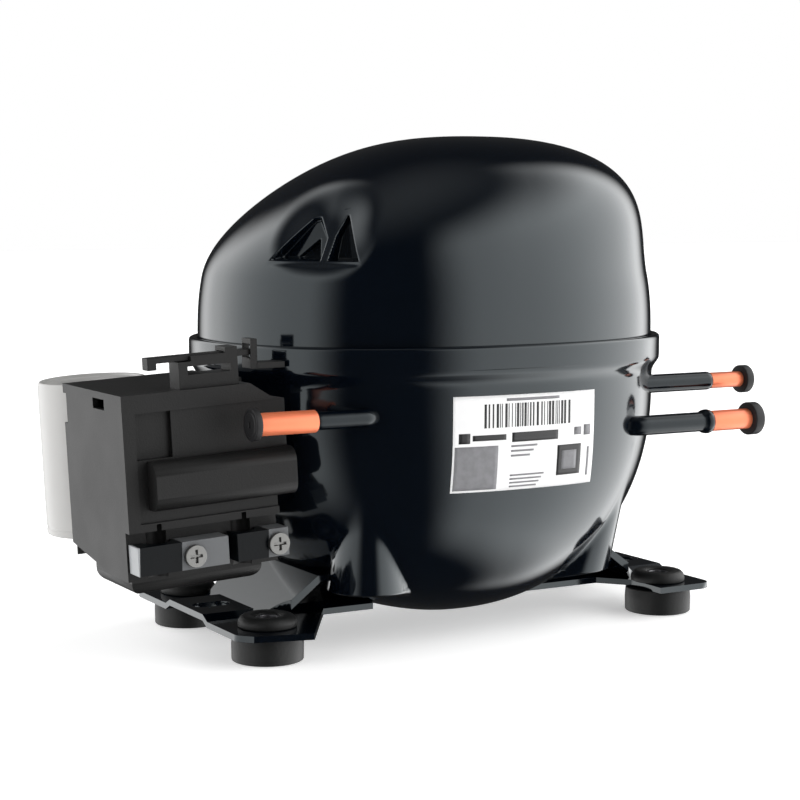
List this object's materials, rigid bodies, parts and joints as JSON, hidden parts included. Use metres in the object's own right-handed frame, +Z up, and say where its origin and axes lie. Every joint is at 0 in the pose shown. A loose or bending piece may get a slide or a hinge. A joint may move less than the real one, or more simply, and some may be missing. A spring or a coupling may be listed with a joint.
{
  "type": "hermetic reciprocating compressor",
  "caption": "Welded black steel shell on rubber-footed base plates, with capped copper tube stubs, a clip-on electrical box and capacitor, and a spring-hung motor driving a scotch-yoke piston.",
  "frame": {"origin": "centre of the four mounting holes, on the plane that the rubber feet stand on", "axes": "+Z up out of the dome, +X along the long side of the mounting pattern towards the suction tube, -X towards the electrical box, -Y towards the label"},
  "size_m": [0.2625, 0.1454, 0.185],
  "materials": {
    "black_paint": "gloss",
    "painted_tube": "gloss",
    "copper": "satin",
    "cap_rubber": "matte",
    "foot_rubber": "matte",
    "box_plastic": "matte",
    "relay_plastic": "matte",
    "protector_phenolic": "matte",
    "capacitor_case": "satin",
    "label_film": "satin",
    "strap_steel": "gloss",
    "zinc_steel": "satin",
    "spring_steel": "satin",
    "bolt_steel": "satin",
    "glass_bead": "gloss",
    "tin_brass": "satin",
    "nylon": "matte",
    "muffler_plastic": "matte",
    "lamination_steel": "matte",
    "winding_copper": "satin",
    "cast_aluminium": "satin",
    "cast_iron": "matte",
    "ground_steel": "satin",
    "gasket_fibre": "matte",
    "lead_insulation": "matte",
    "steel_pressing": "satin"
  },
  "bodies": {
    "compressor": {"upper_shell": "black_paint", "lower_shell": "black_paint", "base_plate_left": "black_paint", "base_plate_right": "black_paint", "rubber_feet": "foot_rubber", "mounting_sleeves": "zinc_steel", "label": "label_film", "discharge_connector": "painted_tube", "suction_connector": "painted_tube", "process_connector": "painted_tube", "discharge_copper_stub": "copper", "suction_copper_stub": "copper", "process_copper_stub": "copper", "terminal_cup": "zinc_steel", "terminal_glass_beads": "glass_bead", "terminal_pins": "ground_steel", "terminal_guard": "black_paint", "ground_screw": "zinc_steel", "start_relay": "relay_plastic", "relay_tabs": "tin_brass", "overload_protector": "protector_phenolic", "spring_lower_seats": "nylon", "suspension_springs": "spring_steel", "internal_discharge_tube": "steel_pressing", "internal_plug": "nylon", "motor_leads": "lead_insulation"},
    "suspended_pump": {"spring_upper_stops": "nylon", "stator_bolts": "bolt_steel", "stator_core": "lamination_steel", "stator_winding": "winding_copper", "cylinder_block": "cast_iron", "thrust_washer": "ground_steel", "cylinder_gasket": "gasket_fibre", "suction_reed_frame": "spring_steel", "valve_plate": "ground_steel", "head_gasket": "gasket_fibre", "cylinder_head": "cast_aluminium", "discharge_valve_stop": "steel_pressing", "head_bolts": "bolt_steel", "suction_muffler": "muffler_plastic", "discharge_muffler": "steel_pressing"},
    "crankshaft_and_rotor": {"crankshaft": "ground_steel", "rotor_core": "lamination_steel", "rotor_end_rings": "cast_aluminium", "rotor_counterweight": "steel_pressing", "oil_pickup_tube": "steel_pressing"},
    "oil_plug": {"crank_pin_oil_plug": "ground_steel"},
    "slide_block": {"slide_block": "ground_steel"},
    "piston": {"piston_and_yoke": "ground_steel"},
    "suction_reed": {"suction_reed": "spring_steel"},
    "discharge_reed": {"discharge_reed": "spring_steel"},
    "electrical_cover": {"electrical_cover": "box_plastic", "cable_clamp_straps": "strap_steel", "clamp_screws": "zinc_steel", "run_capacitor": "capacitor_case", "capacitor_tabs": "tin_brass"},
    "cover_latch": {"cover_latch": "box_plastic"},
    "discharge_cap": {"discharge_cap": "cap_rubber"},
    "suction_cap": {"suction_cap": "cap_rubber"},
    "process_cap": {"process_cap": "cap_rubber"}
  },
  "joints": [
    {"name": "suspension_bounce", "type": "slide", "parent": "compressor", "child": "suspended_pump", "axis": [0, 0, 1], "range_m": [-0.002, 0.002], "stiffness_N_per_m": 12000, "springref_m": 0.00351, "deforming": ["suspension_springs", "internal_discharge_tube", "motor_leads"]},
    {"name": "crank_turn", "type": "hinge", "parent": "suspended_pump", "child": "crankshaft_and_rotor", "pos_m": [0, 0, 0.1], "axis": [0, 0, 1], "continuous": true},
    {"name": "oil_plug_turn", "type": "hinge", "parent": "crankshaft_and_rotor", "child": "oil_plug", "pos_m": [0.0045, 0, 0.128], "axis": [0, 0, 1], "continuous": true},
    {"name": "slide_block_turn", "type": "hinge", "parent": "crankshaft_and_rotor", "child": "slide_block", "pos_m": [0.009, 0, 0.128], "axis": [0, 0, 1], "continuous": true},
    {"name": "piston_stroke", "type": "hinge", "parent": "oil_plug", "child": "piston", "pos_m": [0.009, 0, 0.128], "axis": [0, 0, 1], "continuous": true},
    {"name": "suction_reed_lift", "type": "hinge", "parent": "suspended_pump", "child": "suction_reed", "pos_m": [0.0492, 0, 0.118], "axis": [0, -1, 0], "range_deg": [0, 3.5], "stiffness_Nm_per_rad": 0.02},
    {"name": "discharge_reed_lift", "type": "hinge", "parent": "suspended_pump", "child": "discharge_reed", "pos_m": [0.053, -0.0066, 0.119], "axis": [0, 1, 0], "range_deg": [0, 4], "stiffness_Nm_per_rad": 0.02},
    {"name": "cover_pull", "type": "slide", "parent": "compressor", "child": "electrical_cover", "axis": [-0.9986, 0, -0.0523], "range_m": [0, 0.045]},
    {"name": "latch_slide", "type": "slide", "parent": "electrical_cover", "child": "cover_latch", "axis": [-0.9986, 0, -0.0523], "range_m": [0, 0.008]},
    {"name": "discharge_cap_pull", "type": "slide", "parent": "compressor", "child": "discharge_cap", "axis": [-1, 0, 0], "range_m": [0, 0.04]},
    {"name": "suction_cap_pull", "type": "slide", "parent": "compressor", "child": "suction_cap", "axis": [1, 0, 0], "range_m": [0, 0.04]},
    {"name": "process_cap_pull", "type": "slide", "parent": "compressor", "child": "process_cap", "axis": [1, 0, 0], "range_m": [0, 0.04]}
  ],
  "couplings": [
    {"joint": "oil_plug_turn", "follows": "crank_turn", "ratio": -2},
    {"joint": "slide_block_turn", "follows": "crank_turn", "ratio": -1},
    {"joint": "piston_stroke", "follows": "crank_turn", "ratio": 1}
  ]
}
